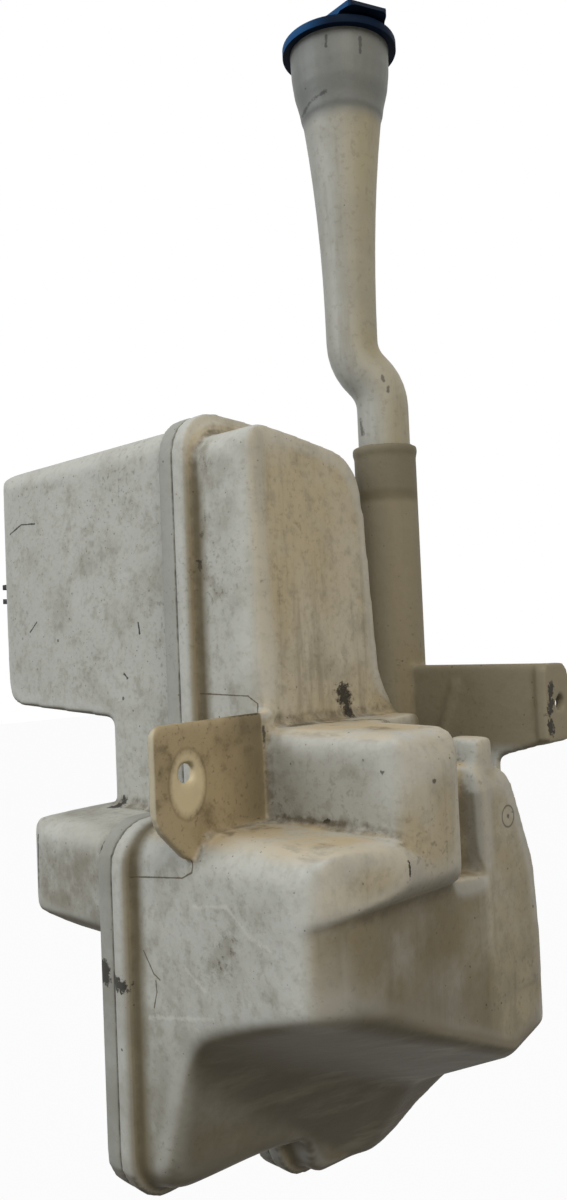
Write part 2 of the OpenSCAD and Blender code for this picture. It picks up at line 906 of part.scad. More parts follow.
outer_shell();
inner_shell();
filler_pipe();
pipe_seal();
cap_ring();
cap_lid();
pump_case();
pump_foot();
pump_grommet();
pump_strainer();
hose_clip();
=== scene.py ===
# %% [markdown]
# # A washer fluid reservoir from a car
# The reservoir is two moulded shells of natural polyethylene, welded along a flange, with a long
# filler pipe, a blue cap and a small pump behind. The solid model is packed already, so this lesson
# loads it as a fixed frame and works on what a solid model lacks: soft moulded corners, aged
# plastic, dirt, light and a camera.

# %% Load the frame
import math

import bmesh
import bpy
import numpy as np
from mathutils import Matrix, Vector


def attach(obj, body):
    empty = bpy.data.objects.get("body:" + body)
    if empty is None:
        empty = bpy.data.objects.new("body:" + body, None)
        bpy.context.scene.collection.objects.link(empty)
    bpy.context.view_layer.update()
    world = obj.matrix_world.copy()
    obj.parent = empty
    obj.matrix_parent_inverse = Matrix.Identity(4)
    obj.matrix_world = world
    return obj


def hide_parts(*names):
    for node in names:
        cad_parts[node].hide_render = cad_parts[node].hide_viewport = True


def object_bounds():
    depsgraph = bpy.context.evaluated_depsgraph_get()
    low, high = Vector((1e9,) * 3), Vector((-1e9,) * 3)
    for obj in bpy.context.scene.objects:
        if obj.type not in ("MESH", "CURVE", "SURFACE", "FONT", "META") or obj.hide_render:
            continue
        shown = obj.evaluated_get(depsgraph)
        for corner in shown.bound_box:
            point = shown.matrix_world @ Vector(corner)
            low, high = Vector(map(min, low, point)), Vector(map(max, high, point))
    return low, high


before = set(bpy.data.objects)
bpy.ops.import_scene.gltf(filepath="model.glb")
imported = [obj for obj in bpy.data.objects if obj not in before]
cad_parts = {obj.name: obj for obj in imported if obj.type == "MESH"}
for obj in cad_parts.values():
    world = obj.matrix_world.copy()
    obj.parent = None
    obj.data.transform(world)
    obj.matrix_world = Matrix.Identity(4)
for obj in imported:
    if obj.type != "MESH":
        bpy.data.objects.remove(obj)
cad_low, cad_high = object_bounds()
scene = bpy.context.scene
MM = 0.001
print("frame nodes:", sorted(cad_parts))

# %% [markdown]
# ## Camera
# The photograph was taken from close by, a little below the middle of the tank, by someone who
# tilted the camera a few degrees. The focal length decides how strongly the near edges grow, so it
# is set first. The rotation could be typed as Euler angles. Building the three axes of the camera
# one turn at a time is easier to follow: first the heading, then the pitch, then the roll.

# %% Place the camera
HEADING = math.radians(45.0)
PITCH = math.radians(2.3)
ROLL = math.radians(2.4)
CAMERA_PLACE = Vector((0.29964, -0.24224, 0.049))
LENS = 30.0
SENSOR = 36.0

ahead = Vector((-math.sin(HEADING), math.cos(HEADING), 0))
across = Vector((math.cos(HEADING), math.sin(HEADING), 0))
upward = Vector((0, 0, 1))
gaze = ahead * math.cos(PITCH) + upward * math.sin(PITCH)
crown = upward * math.cos(PITCH) - ahead * math.sin(PITCH)
right = across * math.cos(ROLL) - crown * math.sin(ROLL)
top = across * math.sin(ROLL) + crown * math.cos(ROLL)

camera_data = bpy.data.cameras.new("camera")
camera_data.sensor_fit = "AUTO"
camera_data.sensor_width = SENSOR
camera_data.lens = LENS
camera_data.clip_start = 0.01
camera = bpy.data.objects.new("camera", camera_data)
turn = Matrix((right, top, -gaze)).transposed()
camera.matrix_world = Matrix.Translation(CAMERA_PLACE) @ turn.to_4x4()
scene.collection.objects.link(camera)
scene.camera = camera
print("camera at", tuple(round(v, 3) for v in CAMERA_PLACE))

# %% [markdown]
# ## Moulded pieces
# A blow-moulded tank has no sharp edge anywhere: the plastic thins and rounds at every corner and
# fills every inside corner a little. A Bevel modifier trips over the many small faces where solids
# were joined. So each moulded piece is a copy of its solid that is rebuilt from small cubes by the
# Remesh modifier, relaxed by Smooth, which rounds outside and inside corners alike, and thinned by
# Decimate, which spends the triangles where the form is curved.

# %% Copy a node as a clean mesh
MERGE_GAP = 1e-6


def merged_copy(node, name):
    """A new object from a CAD node's mesh, with its loose triangles joined."""
    shape = bmesh.new()
    shape.from_mesh(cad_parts[node].data)
    bmesh.ops.remove_doubles(shape, verts=shape.verts, dist=MERGE_GAP)
    mesh = bpy.data.meshes.new(name)
    shape.to_mesh(mesh)
    shape.free()
    for layer in [a.name for a in mesh.attributes if a.name == "custom_normal"]:
        mesh.attributes.remove(mesh.attributes[layer])
    piece = bpy.data.objects.new(name, mesh)
    scene.collection.objects.link(piece)
    return piece


def apply_modifiers(piece):
    """Replaces the piece's mesh by what its modifiers make of it."""
    graph = bpy.context.evaluated_depsgraph_get()
    mesh = bpy.data.meshes.new_from_object(piece.evaluated_get(graph))
    piece.modifiers.clear()
    old = piece.data
    piece.data = mesh
    mesh.name = piece.name
    bpy.data.meshes.remove(old)


# %% [markdown]
# A real mould isn't equally soft everywhere. The weld flange, the brackets and the socket are crisp,
# the walls are rounder, and the hollow over the wheel fades into the front wall. Smooth follows a
# vertex group, so each degree of softness is a group filled from soft-edged boxes.

# %% Soften a piece box by box
LEVELS = 10
RELAX = 0.5


def vertex_places(mesh):
    """The vertices' places as an array of rows."""
    places = np.empty(len(mesh.vertices) * 3)
    mesh.vertices.foreach_get("co", places)
    return places.reshape(-1, 3)


def box_share(places, low, high, fade):
    """1 inside a box given in millimetres, 0 outside, with a soft border."""
    depth = np.minimum(places - np.array(low) * MM, np.array(high) * MM - places).min(axis=1)
    share = np.clip(0.5 + depth / (2 * fade * MM), 0, 1)
    return share * share * (3 - 2 * share)


def soften(piece, passes, inside, crisp=()):
    """Smooths a piece inside some boxes and leaves out others."""
    places = vertex_places(piece.data)
    share = np.max([box_share(places, *box) for box in inside], axis=0)
    for box in crisp:
        share = share * (1 - box_share(places, *box))
    level = np.rint(share * LEVELS).astype(int)
    group = piece.vertex_groups.new(name="softness")
    for step in range(1, LEVELS + 1):
        group.add(np.nonzero(level == step)[0].tolist(), step / LEVELS, "REPLACE")
    relax = piece.modifiers.new("relax", "SMOOTH")
    relax.factor = RELAX
    relax.iterations = passes
    relax.vertex_group = group.name
    apply_modifiers(piece)
    piece.vertex_groups.clear()


# %% [markdown]
# Dirt gathers in hollows, and edges are rubbed clean; the same masks also paint shade into creases
# and hollows and a highlight onto edges. Both can be measured: if the surface is smoothed hard, a
# vertex on an edge sinks and a vertex in a hollow rises. The height difference along the normal is
# kept on the mesh as an attribute, which the materials read later. A few passes find narrow
# creases, many passes find broad edges. Ambient occlusion nodes could do the same at render time,
# but an attribute is the same in every renderer.

# %% Measure edges and hollows
RELIEF_PASSES = {"crease": 8, "relief": 40}


def surface_relief(mesh, passes):
    """How far each vertex stands above its smoothed surroundings, in metres."""
    places = vertex_places(mesh)
    count = len(places)
    normals = np.empty(count * 3)
    mesh.vertices.foreach_get("normal", normals)
    ends = np.empty(len(mesh.edges) * 2, np.int32)
    mesh.edges.foreach_get("vertices", ends)
    first, second = ends.reshape(-1, 2).T
    neighbours = np.bincount(first, minlength=count) + np.bincount(second, minlength=count)
    smooth = places.copy()
    for _ in range(passes):
        total = np.empty_like(smooth)
        for axis in range(3):
            total[:, axis] = np.bincount(first, smooth[second, axis], count)
            total[:, axis] += np.bincount(second, smooth[first, axis], count)
        smooth = total / neighbours[:, None]
    return ((places - smooth) * normals.reshape(-1, 3)).sum(axis=1)


def store_relief(mesh):
    """Keeps both reliefs in millimetres as attributes that the finishes read."""
    for name, passes in RELIEF_PASSES.items():
        relief = surface_relief(mesh, passes) / MM
        layer = mesh.attributes.new(name, "FLOAT", "POINT")
        layer.data.foreach_set("value", relief.astype(np.float32))
        print(name, "from", round(relief.min(), 2), "to", round(relief.max(), 2), "mm")


# %% [markdown]
# The steps come together in one function, because the two shells and the pipe are made alike. The
# relief is measured while the mesh is still even, and Decimate carries it over to the thin mesh.

# %% Rebuild a solid as a moulding
FAR = 900
ALL = ((-FAR, -FAR, -FAR), (FAR, FAR, FAR), 1)


def moulding(node, voxel, stages, triangles):
    """The moulded look of a CAD node: rounded, measured for dirt and painted shade, thinned and set on the
    tank.
    """
    piece = merged_copy(node, node + "_moulded")
    remesh = piece.modifiers.new("remesh", "REMESH")
    remesh.mode = "VOXEL"
    remesh.voxel_size = voxel
    apply_modifiers(piece)
    for stage in stages:
        soften(piece, *stage)
    store_relief(piece.data)
    dense = sum(len(p.vertices) - 2 for p in piece.data.polygons)
    thin = piece.modifiers.new("thin", "DECIMATE")
    thin.ratio = min(1.0, triangles / dense)
    apply_modifiers(piece)
    piece.data.shade_smooth()
    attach(piece, "tank")
    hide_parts(node)
    print(piece.name, len(piece.data.polygons), "faces")
    return piece


# %% Mould the shells and the pipe
SHELL_VOXEL = 1.4 * MM
PIPE_VOXEL = 1.1 * MM
FLANGE = ((-57, -FAR, -FAR), (-35, FAR, FAR), 1.5)
FRONT_BRACKET = ((-5, -25, -42), (5, 40, 25), 2)
SIDE_BRACKET = ((-FAR, 128, -1), (FAR, FAR, FAR), 2)
SCOOP = ((-36, -30, -190), (90, 60, -84), 14)
HOLLOW = ((20, 40, -70), (90, 120, -38), 8)
OUTER_STAGES = [
    (3, [ALL]),
    (12, [ALL], [FLANGE, FRONT_BRACKET, SIDE_BRACKET]),
    (6, [HOLLOW]),
    (160, [SCOOP], [FLANGE]),
]
INNER_STAGES = [
    (3, [ALL]),
    (12, [ALL], [FLANGE]),
]
PIPE_STAGES = [(6, [ALL])]
outer_shell = moulding("outer_shell", SHELL_VOXEL, OUTER_STAGES, 180000)
inner_shell = moulding("inner_shell", SHELL_VOXEL, INNER_STAGES, 150000)
filler_pipe = moulding("filler_pipe", PIPE_VOXEL, PIPE_STAGES, 110000)

# %% [markdown]
# ## Small moulded pieces
# The cap, the pump and the clip are injection moulded, so their edges are crisp, with a radius of
# a few tenths of a millimetre that catches the light. Their CAD nodes keep their meshes and get
# three modifiers: Weld joins the loose triangles, Decimate dissolves the lines inside flat faces,
# and Bevel rounds what is left by its angle.

# %% Round the crisp edges
EDGE_RADIUS = 0.4 * MM
EDGE_ANGLE = math.radians(35)
FLAT_ANGLE = math.radians(1)
WELD_GAP = 0.01 * MM


def crisp_edges(node):
    """Bevels a CAD node's edges without touching its mesh."""
    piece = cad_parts[node]
    weld = piece.modifiers.new("weld", "WELD")
    weld.merge_threshold = WELD_GAP
    flats = piece.modifiers.new("flats", "DECIMATE")
    flats.decimate_type = "DISSOLVE"
    flats.angle_limit = FLAT_ANGLE
    bevel = piece.modifiers.new("bevel", "BEVEL")
    bevel.width = EDGE_RADIUS
    bevel.segments = 2
    bevel.limit_method = "ANGLE"
    bevel.angle_limit = EDGE_ANGLE


CRISP_NODES = (
    "cap_ring", "cap_lid", "pipe_seal", "hose_clip",
    "pump_case", "pump_foot", "pump_grommet", "pump_strainer",
)
for name in CRISP_NODES:
    crisp_edges(name)
print("bevelled", len(CRISP_NODES), "nodes")

# %% [markdown]
# ## Tools for the finishes
# A material is a tree of nodes, and long trees are hard to read as code. Two small helpers keep
# each finish readable: `wire` puts a number or another node's output into a socket, and `Finish`
# lays coats of colour over each other, each through a mask, like a painter with stencils. Cycles
# keeps the values of a tree in a small store while it works, and leaves clamped nodes for last.
# So `between` has its clamp off, since a smooth step stays between 0 and 1 by itself, and other
# limits are set with Minimum and Maximum.

# %% Nodes as recipes
def paint(red, green, blue):
    """A colour as a paint chart gives it, 0 to 255, in Blender's linear values."""
    def linear(value):
        share = value / 255
        return share / 12.92 if share <= 0.04045 else ((share + 0.055) / 1.055) ** 2.4
    return (linear(red), linear(green), linear(blue), 1.0)


def wire(tree, socket, value):
    """Links an output to a socket, or sets the socket's own value."""
    if isinstance(value, bpy.types.NodeSocket):
        tree.links.new(value, socket)
    else:
        socket.default_value = value


def compute(tree, operation, *values):
    """A Math node's output."""
    node = tree.nodes.new("ShaderNodeMath")
    node.operation = operation
    for socket, value in zip(node.inputs, values):
        wire(tree, socket, value)
    return node.outputs["Value"]


def vector_compute(tree, operation, *values, output="Vector"):
    """A Vector Math node's output."""
    node = tree.nodes.new("ShaderNodeVectorMath")
    node.operation = operation
    for socket, value in zip(node.inputs, values):
        wire(tree, socket, value)
    return node.outputs[output]


def between(tree, value, low, high):
    """A soft step from 0 at low to 1 at high."""
    node = tree.nodes.new("ShaderNodeMapRange")
    node.interpolation_type = "SMOOTHSTEP"
    node.clamp = False
    wire(tree, node.inputs["Value"], value)
    wire(tree, node.inputs["From Min"], low)
    wire(tree, node.inputs["From Max"], high)
    return node.outputs["Result"]


def cloud(tree, place, scale, detail=3.0, roughness=0.55):
    """A noise texture's value, around 0.5."""
    node = tree.nodes.new("ShaderNodeTexNoise")
    wire(tree, node.inputs["Vector"], place)
    wire(tree, node.inputs["Scale"], scale)
    wire(tree, node.inputs["Detail"], detail)
    wire(tree, node.inputs["Roughness"], roughness)
    return node.outputs["Fac"]


def new_group(name, inputs, output="Mask"):
    """An empty node group with named inputs and one value to put out."""
    tree = bpy.data.node_groups.new(name, "ShaderNodeTree")
    for label, kind, value in inputs:
        socket = tree.interface.new_socket(label, in_out="INPUT", socket_type="NodeSocket" + kind)
        socket.default_value = value
    tree.interface.new_socket(output, in_out="OUTPUT", socket_type="NodeSocketFloat")
    inside = tree.nodes.new("NodeGroupInput")
    outside = tree.nodes.new("NodeGroupOutput")
    return tree, inside.outputs, outside.inputs[output]


# %% [markdown]
# ## Masks that all finishes share
# Eight groups say where something is on the surface. `Facing` finds walls that look one way, `Zone`
# fills a soft-edged box, `Mottle` makes clouds and streaks, `Specks` scatters dots, `Stroke` draws
# one ragged line between two points, `Raised` finds the edges that are rubbed and get a painted
# highlight, `Sunken` finds creases and `Hollow` finds broad hollows, which get dirt and painted shade.
# A painted image could hold all this, but it would need a UV map and would blur close by. The groups
# read Object coordinates and the piece's own relief, so the marks stay sharp, and stay in place when
# the camera moves.

# %% Facing, zones and relief
AXES = ((1, 0, 0), (0, 1, 0), (0, 0, 1))


def build_facing():
    """Walls whose normal is near an axis."""
    tree, given, mask = new_group("Facing", [
        ("Axis", "Vector", (0, 0, 1)), ("From", "Float", 0.3), ("To", "Float", 0.8)])
    coordinates = tree.nodes.new("ShaderNodeTexCoord")
    aim = vector_compute(tree, "DOT_PRODUCT", coordinates.outputs["Normal"], given["Axis"], output="Value")
    tree.links.new(between(tree, aim, given["From"], given["To"]), mask)
    return tree


def build_zone():
    """A box with a soft border."""
    tree, given, mask = new_group("Zone", [
        ("Low", "Vector", (-1, -1, -1)), ("High", "Vector", (1, 1, 1)), ("Fade", "Float", 0.002)])
    place = tree.nodes.new("ShaderNodeTexCoord").outputs["Object"]
    over = vector_compute(tree, "SUBTRACT", place, given["Low"])
    under = vector_compute(tree, "SUBTRACT", given["High"], place)
    margin = vector_compute(tree, "MINIMUM", over, under)
    axes = [vector_compute(tree, "DOT_PRODUCT", margin, axis, output="Value") for axis in AXES]
    depth = compute(tree, "MINIMUM", axes[0], compute(tree, "MINIMUM", axes[1], axes[2]))
    border = compute(tree, "MULTIPLY", given["Fade"], -1.0)
    tree.links.new(between(tree, depth, border, given["Fade"]), mask)
    return tree


def build_relief(name, attribute, way):
    """Where a stored relief is high, or low if way is -1."""
    tree, given, mask = new_group(name, [("From", "Float", 0.1), ("To", "Float", 0.8)])
    relief = tree.nodes.new("ShaderNodeAttribute")
    relief.attribute_name = attribute
    height = compute(tree, "MULTIPLY", relief.outputs["Fac"], way)
    tree.links.new(between(tree, height, given["From"], given["To"]), mask)
    return tree


facing = build_facing()
zone = build_zone()
raised = build_relief("Raised", "relief", 1.0)
sunken = build_relief("Sunken", "crease", -1.0)
hollow = build_relief("Hollow", "relief", -1.0)
print("groups:", facing.name, zone.name, raised.name, sunken.name, hollow.name)

# %% Mottle and specks
def build_mottle():
    """Clouds, or streaks where the noise is stretched."""
    tree, given, mask = new_group("Mottle", [
        ("Scale", "Float", 30.0), ("Stretch", "Vector", (1, 1, 1)), ("Shift", "Vector", (0, 0, 0)),
        ("From", "Float", 0.45), ("To", "Float", 0.65)])
    place = tree.nodes.new("ShaderNodeTexCoord").outputs["Object"]
    mapping = tree.nodes.new("ShaderNodeMapping")
    wire(tree, mapping.inputs["Vector"], place)
    wire(tree, mapping.inputs["Location"], given["Shift"])
    wire(tree, mapping.inputs["Scale"], given["Stretch"])
    value = cloud(tree, mapping.outputs["Vector"], given["Scale"], detail=5.0, roughness=0.6)
    tree.links.new(between(tree, value, given["From"], given["To"]), mask)
    return tree


def build_specks():
    """Dots of uneven size with wobbly outlines, in a share of the cells."""
    tree, given, mask = new_group("Specks", [
        ("Scale", "Float", 150.0), ("Size", "Float", 0.12), ("Share", "Float", 0.3)])
    place = tree.nodes.new("ShaderNodeTexCoord").outputs["Object"]
    cells = tree.nodes.new("ShaderNodeTexVoronoi")
    wire(tree, cells.inputs["Vector"], place)
    wire(tree, cells.inputs["Scale"], given["Scale"])
    pick = tree.nodes.new("ShaderNodeSeparateColor")
    tree.links.new(cells.outputs["Color"], pick.inputs["Color"])
    chosen = compute(tree, "LESS_THAN", pick.outputs["Red"], given["Share"])
    size = compute(tree, "MULTIPLY", given["Size"], pick.outputs["Green"])
    wobble = compute(tree, "MULTIPLY", compute(tree, "SUBTRACT", cloud(tree, place, 900.0), 0.5), size)
    distance = compute(tree, "ADD", cells.outputs["Distance"], compute(tree, "MULTIPLY", wobble, 1.5))
    inside = between(tree, distance, size, compute(tree, "MULTIPLY", size, 0.55))
    tree.links.new(compute(tree, "MULTIPLY", inside, chosen), mask)
    return tree


mottle = build_mottle()
specks = build_specks()
print("groups:", mottle.name, specks.name)

# %% One ragged stroke
def build_stroke():
    """One line from start to end with ragged sides."""
    tree, given, mask = new_group("Stroke", [
        ("Start", "Vector", (0, 0, 0)), ("End", "Vector", (0, 0, 0.01)), ("Squash", "Vector", (1, 1, 1)),
        ("Width", "Float", 0.001), ("Soft", "Float", 0.65), ("Ragged", "Float", 0.3),
        ("Grain", "Float", 450.0)])
    place = tree.nodes.new("ShaderNodeTexCoord").outputs["Object"]
    run = vector_compute(tree, "SUBTRACT", given["End"], given["Start"])
    reach = vector_compute(tree, "SUBTRACT", place, given["Start"])
    length = vector_compute(tree, "DOT_PRODUCT", run, run, output="Value")
    along = vector_compute(tree, "DOT_PRODUCT", reach, run, output="Value")
    share = compute(tree, "DIVIDE", along, compute(tree, "MAXIMUM", length, 1e-9))
    share = compute(tree, "MINIMUM", compute(tree, "MAXIMUM", share, 0.0), 1.0)
    nearest = vector_compute(tree, "SCALE", run)
    wire(tree, nearest.node.inputs["Scale"], share)
    gap = vector_compute(tree, "MULTIPLY", vector_compute(tree, "SUBTRACT", reach, nearest), given["Squash"])
    distance = vector_compute(tree, "LENGTH", gap, output="Value")
    noise = compute(tree, "SUBTRACT", cloud(tree, place, given["Grain"], detail=4.0, roughness=0.7), 0.5)
    rough = compute(tree, "MULTIPLY", compute(tree, "MULTIPLY", noise, given["Ragged"]), given["Width"])
    edge = compute(tree, "ADD", distance, compute(tree, "MULTIPLY", rough, 4.0))
    core = compute(tree, "MULTIPLY", given["Width"], compute(tree, "SUBTRACT", 1.0, given["Soft"]))
    tree.links.new(between(tree, edge, given["Width"], core), mask)
    return tree


stroke = build_stroke()
print("groups:", stroke.name)


# %% Coats of colour
class Finish:
    """A material under way: each coat is mixed over the colour that is there."""

    def __init__(self, name, colour):
        self.material = bpy.data.materials.new(name)
        self.material.use_nodes = True
        self.tree = self.material.node_tree
        self.shader = self.tree.nodes["Principled BSDF"]
        self.colour = colour
        self.height = None

    def mask(self, group, **values):
        """A group's mask, with its inputs set by name."""
        node = self.tree.nodes.new("ShaderNodeGroup")
        node.node_tree = group
        for label, value in values.items():
            wire(self.tree, node.inputs[label], value)
        return node.outputs["Mask"]

    def both(self, *masks):
        """Where all the masks are."""
        result = masks[0]
        for other in masks[1:]:
            result = compute(self.tree, "MULTIPLY", result, other)
        return result

    def either(self, *masks):
        """Where any of the masks is."""
        result = masks[0]
        for other in masks[1:]:
            result = compute(self.tree, "MAXIMUM", result, other)
        return result

    def coat(self, mask, colour, strength=1.0, blend="MIX"):
        """Lays a colour over the finish through a mask."""
        node = self.tree.nodes.new("ShaderNodeMix")
        node.data_type = "RGBA"
        node.blend_type = blend
        wire(self.tree, node.inputs["Factor"], compute(self.tree, "MULTIPLY", mask, strength))
        wire(self.tree, node.inputs[6], self.colour)
        wire(self.tree, node.inputs[7], colour)
        self.colour = node.outputs[2]

    def lift(self, mask, amount):
        """Raises the surface by an amount in millimetres where the mask is, as bump."""
        height = compute(self.tree, "MULTIPLY", mask, amount * MM)
        self.height = height if self.height is None else compute(self.tree, "ADD", self.height, height)

    def close(self, roughness, shine=0.2):
        """Wires the coats and the bump into the shader."""
        self.shader.inputs["Specular IOR Level"].default_value = shine
        wire(self.tree, self.shader.inputs["Base Color"], self.colour)
        wire(self.tree, self.shader.inputs["Roughness"], roughness)
        if self.height is not None:
            node = self.tree.nodes.new("ShaderNodeBump")
            node.inputs["Strength"].default_value = 1.0
            node.inputs["Distance"].default_value = 1.0
            wire(self.tree, node.inputs["Height"], self.height)
            wire(self.tree, self.shader.inputs["Normal"], node.outputs["Normal"])
        return self.material


def dress(mesh, material):
    """Gives a mesh its only material."""
    mesh.materials.clear()
    mesh.materials.append(material)


def mm(*place):
    """A place given in millimetres of the part's frame."""
    return tuple(value * MM for value in place)


def box(finish, low, high, fade):
    """The mask of a box given in millimetres."""
    return finish.mask(zone, Low=mm(*low), High=mm(*high), Fade=fade * MM)


def strokes(finish, points, width, squash=(1, 1, 1), **look):
    """The mask of a line through several points, one stroke from each to the next."""
    masks = [
        finish.mask(stroke, Start=mm(*start), End=mm(*end), Width=width * MM, Squash=squash, **look)
        for start, end in zip(points, points[1:])
    ]
    return finish.either(*masks)


def ring(finish, centre, radius, width, squash):
    """The mask of a thin ring: a disc less a smaller disc."""
    discs = [
        finish.mask(stroke, Start=mm(*centre), End=mm(*centre), Width=(radius + side * width / 2) * MM,
                    Squash=squash, Soft=0.08, Ragged=0.02)
        for side in (1, -1)
    ]
    return compute(finish.tree, "MAXIMUM", compute(finish.tree, "SUBTRACT", *discs), 0.0)


# %% [markdown]
# ## Tank plastic
# The shells are natural polyethylene: milky and a little grey on the front walls. The walls that
# face outwards, towards the wheel, are painted tan as warm shade. Road dirt lies on every ledge, sits
# in the groove beside the flange, and is rubbed off the edges, which also get a painted highlight.
# Both shells get the same clouds, dirt, painted shade and specks, so these are functions. The marks
# belong to one shell each. A long material is slow to render, so the same few noise scales are used
# again and again: Cycles works out equal nodes only once.

# %% Colours of the tank
MILKY = paint(174, 174, 166)
WARM_SHADE_TAN = paint(174, 160, 131)
BACK_TAN = paint(148, 137, 113)
LOW_TAN = paint(106, 95, 71)
SHADE_TAN = paint(96, 86, 64)
LEDGE_DIRT = paint(184, 166, 132)
UNDERSIDE_SHADE_AND_GRIME = paint(68, 60, 41)
DIRT_AND_SHADE_BROWN = paint(100, 90, 69)
CREASE_DIRT_AND_SHADE = paint(78, 67, 48)
GRIME = paint(118, 112, 96)
PALE_WEAR_AND_HIGHLIGHT = paint(192, 192, 185)
SOOT = paint(30, 27, 21)
UP = (0, 0, 1)
DOWN = (0, 0, -1)
OUTWARD = (1, 0, 0)
FORWARD = (0, -1, 0)
BROAD, MEDIUM, SMALL, FINE = 16.0, 40.0, 150.0, 420.0
SHELL_ROUGHNESS = 0.62


# %% Clouds, dirt and painted shade by form, and specks
def clouds(finish):
    """Lighter and darker clouds, with more dark clouds towards the bottom."""
    finish.coat(finish.mask(mottle, Scale=BROAD, From=0.42, To=0.68), PALE_WEAR_AND_HIGHLIGHT, 0.3)
    finish.coat(finish.mask(mottle, Scale=MEDIUM, From=0.48, To=0.72), GRIME, 0.34)
    finish.coat(finish.mask(mottle, Scale=SMALL, From=0.48, To=0.7), GRIME, 0.34)
    finish.coat(finish.mask(mottle, Scale=FINE, From=0.5, To=0.68), DIRT_AND_SHADE_BROWN, 0.2)
    low = box(finish, (-FAR, -FAR, -FAR), (FAR, FAR, -80), 60)
    finish.coat(finish.both(low, finish.mask(mottle, Scale=MEDIUM, From=0.38, To=0.62)), GRIME, 0.45)


def rubbed_and_highlit_edges(finish):
    """Edges that hands and rags have rubbed, which also get a painted highlight."""
    return finish.mask(raised, From=0.2, To=1.0)


def dirt_and_shade_by_form(finish):
    """Pale edges of rubbed wear and painted highlight, painted shade in broad hollows, and dark, broken
    lines of dirt and painted shade in the creases.
    """
    finish.coat(rubbed_and_highlit_edges(finish), PALE_WEAR_AND_HIGHLIGHT, 0.35)
    finish.coat(finish.mask(hollow, From=0.8, To=2.4), DIRT_AND_SHADE_BROWN, 0.25)
    broken = finish.mask(mottle, Scale=SMALL, From=0.3, To=0.66)
    finish.coat(finish.both(finish.mask(sunken, From=0.08, To=0.4), broken), CREASE_DIRT_AND_SHADE, 0.6)


def speckle(finish):
    """Soot in three sizes and patches of grit, whose mask it gives back."""
    finish.coat(finish.mask(specks, Scale=70.0, Size=0.08, Share=0.45), SOOT, 0.75)
    finish.coat(finish.mask(specks, Scale=190.0, Size=0.13, Share=0.3), SOOT, 0.6)
    finish.coat(finish.mask(specks, Scale=420.0, Size=0.25, Share=0.2), DIRT_AND_SHADE_BROWN, 0.6)
    grit = finish.mask(mottle, Scale=FINE, From=0.55, To=0.72)
    patches = finish.mask(mottle, Scale=BROAD, From=0.5, To=0.36)
    finish.coat(finish.both(grit, patches), SOOT, 0.3)
    return grit


def orange_peel(finish):
    """The slightly wavy skin of blow-moulded plastic."""
    finish.lift(finish.mask(mottle, Scale=MEDIUM, From=0.2, To=0.8), 0.35)
    finish.lift(finish.mask(mottle, Scale=FINE, From=0.2, To=0.8), 0.03)


def shaded_undersides(finish):
    """Walls that look down, which get painted shade and the spray of the road that dries and stays."""
    return finish.mask(facing, Axis=DOWN, From=0.12, To=0.6)


# %% Washes and marks
THROUGH_FRONT = (1, 0.15, 1)
ALONG_WALL = (1, 1, 1)
COARSE_GRAIN = 180.0


def wash(finish, low, high, fade, colour, strength, within=None):
    """A coat in a soft box, or in the part of the box where another mask is."""
    area = box(finish, low, high, fade)
    if within is not None:
        area = finish.both(within, area)
    finish.coat(area, colour, strength)


def draw(finish, lines, colour, strength, squash=ALONG_WALL, within=None, **look):
    """One coat over many lines, each given as its points and its width in millimetres."""
    masks = [strokes(finish, points, width, squash, **look) for points, width in lines]
    drawn = finish.either(*masks)
    if within is not None:
        drawn = finish.both(drawn, within)
    finish.coat(drawn, colour, strength)
    return drawn


# %% [markdown]
# ## The inner shell
# The shell that faces the car body has stayed the cleanest. Its half of the flange is darker than
# its wall, and a thin dark line runs along each side of it: the weld seam on one side, painted shade
# where the flange meets the wall on the other. A dark mark sits in the corner over the ledge.
# The mask of the underside is made first, though the last coat uses it: made at the end, it would
# overfill the store that Cycles works in.

# %% Walls and flange of the inner shell
FLANGE_GREY = paint(130, 131, 124)

inner = Finish("inner_plastic_aged_and_shaded", MILKY)
inner_shaded_under = shaded_undersides(inner)
clouds(inner)
inner_low = box(inner, (-FAR, -FAR, -FAR), (FAR, FAR, -30), 12)
inner_stains = inner.mask(mottle, Scale=MEDIUM, From=0.3, To=0.58)
inner.coat(inner.both(inner_low, inner_stains), DIRT_AND_SHADE_BROWN, 0.55)
dirt_and_shade_by_form(inner)
wash(inner, (-56, -FAR, -FAR), (-46, FAR, FAR), 0.4, FLANGE_GREY, 0.6)
weld_line = box(inner, (-46.4, -FAR, -FAR), (-45, FAR, FAR), 0.2)
# painted shade line where the flange meets the wall; the weld line is the seam
wall_shade_line = box(inner, (-55.9, -FAR, -FAR), (-55.2, FAR, FAR), 0.3)
seam_and_shade_lines = inner.either(weld_line, wall_shade_line)
inner.coat(inner.both(seam_and_shade_lines, inner.mask(mottle, Scale=SMALL, From=0.3, To=0.7)), SOOT, 0.6)
speckle(inner)
print("inner walls coated")

# %% Marks of the inner shell
INNER_HAIRLINES = [
    ([(-198, 42.9, 114), (-186, 42.9, 118), (-172, 42.8, 117)], 0.5),
    ([(-180, 42.8, 59), (-173, 42.8, 64)], 0.5),
    ([(-82.4, 42.3, 60), (-81.5, 42.3, 55)], 0.7),
    ([(-95, 42.4, 36), (-92, 42.4, 34)], 0.7),
    ([(-112, 3.1, -36), (-113, 3.3, -60)], 0.7),
    ([(-51.2, -4, -86), (-51.2, -4, -82)], 3.9),
    ([(-101, 37.6, -27), (-98, 40, -24)], 3.4),
    ([(-53, 3, -29), (-54.5, -3, -36)], 0.8),
]
draw(inner, INNER_HAIRLINES, SOOT, 0.9, Ragged=0.6, Soft=0.4)
